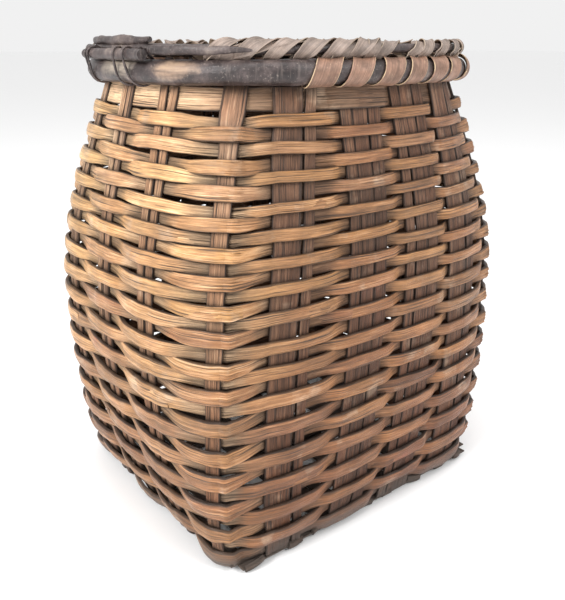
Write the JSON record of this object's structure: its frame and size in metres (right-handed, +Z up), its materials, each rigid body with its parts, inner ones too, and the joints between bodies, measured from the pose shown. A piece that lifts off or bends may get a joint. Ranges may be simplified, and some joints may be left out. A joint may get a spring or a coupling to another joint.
{
  "type": "lidded splint basket",
  "caption": "Bellied basket of woven wood splints on a plaited foot, with bound bent rods round the top and a flat woven lid on a tied stick hinge.",
  "frame": {"origin": "middle of the foot on the plane the basket stands on", "axes": "+Z up; -Y is the wide front face; the lid is hinged along the -X side and its +X side lifts"},
  "size_m": [0.4116, 0.3468, 0.4507],
  "materials": {
    "ash_splint": "dry aged splint, matt",
    "ash_upright": "dry aged splint, matt",
    "bark_covered_rod": "weathered bark, matt",
    "bark_strip": "smooth inner bark, satin",
    "vine": "dark dry vine, matt"
  },
  "bodies": {
    "basket": {"weaver_row_01": "ash_splint", "weaver_row_02": "ash_splint", "weaver_row_03": "ash_splint", "weaver_row_04": "ash_splint", "weaver_row_05": "ash_splint", "weaver_row_06": "ash_splint", "weaver_row_07": "ash_splint", "weaver_row_08": "ash_splint", "weaver_row_09": "ash_splint", "weaver_row_10": "ash_splint", "weaver_row_11": "ash_splint", "weaver_row_12": "ash_splint", "weaver_row_13": "ash_splint", "weaver_row_14": "ash_splint", "weaver_row_15": "ash_splint", "weaver_row_16": "ash_splint", "weaver_row_17": "ash_splint", "weaver_row_18": "ash_splint", "weaver_row_19": "ash_splint", "weaver_row_20": "ash_splint", "weaver_row_21": "ash_splint", "weaver_row_22": "ash_splint", "weaver_row_23": "ash_splint", "weaver_row_24": "ash_splint", "weaver_row_25": "ash_splint", "weaver_row_26": "ash_splint", "weaver_row_27": "ash_splint", "weaver_row_28": "ash_splint", "weaver_row_29": "ash_splint", "weaver_row_30": "ash_splint", "weaver_row_31": "ash_splint", "weaver_row_32": "ash_splint", "top_band": "ash_splint", "front_stake_1_wide": "ash_upright", "front_stake_1_narrow": "ash_upright", "front_stake_2_wide": "ash_upright", "front_stake_2_narrow": "ash_upright", "front_stake_3_wide": "ash_upright", "front_stake_3_narrow": "ash_upright", "front_stake_4_wide": "ash_upright", "front_stake_4_narrow": "ash_upright", "side_stake_1": "ash_upright", "side_stake_2": "ash_upright", "side_stake_3": "ash_upright", "side_stake_4": "ash_upright", "side_stake_5": "ash_upright", "rim_rod": "bark_covered_rod", "inner_rim_rod": "bark_covered_rod", "rim_lashing": "bark_strip", "hinge_tie_1": "vine", "hinge_tie_2": "vine"},
    "lid": {"lid_hoop": "bark_covered_rod", "lid_rib_1": "ash_splint", "lid_rib_2": "ash_splint", "lid_rib_3": "ash_splint", "lid_rib_4": "ash_splint", "lid_rib_5": "ash_splint", "lid_weaver": "ash_splint", "lid_lashing": "bark_strip", "hinge_stick": "bark_covered_rod"}
  },
  "joints": [
    {"name": "lid_hinge", "type": "hinge", "parent": "basket", "child": "lid", "pos_m": [-0.18188, 0, 0.43944], "axis": [0, -1, 0], "range_deg": [0, 110]}
  ]
}
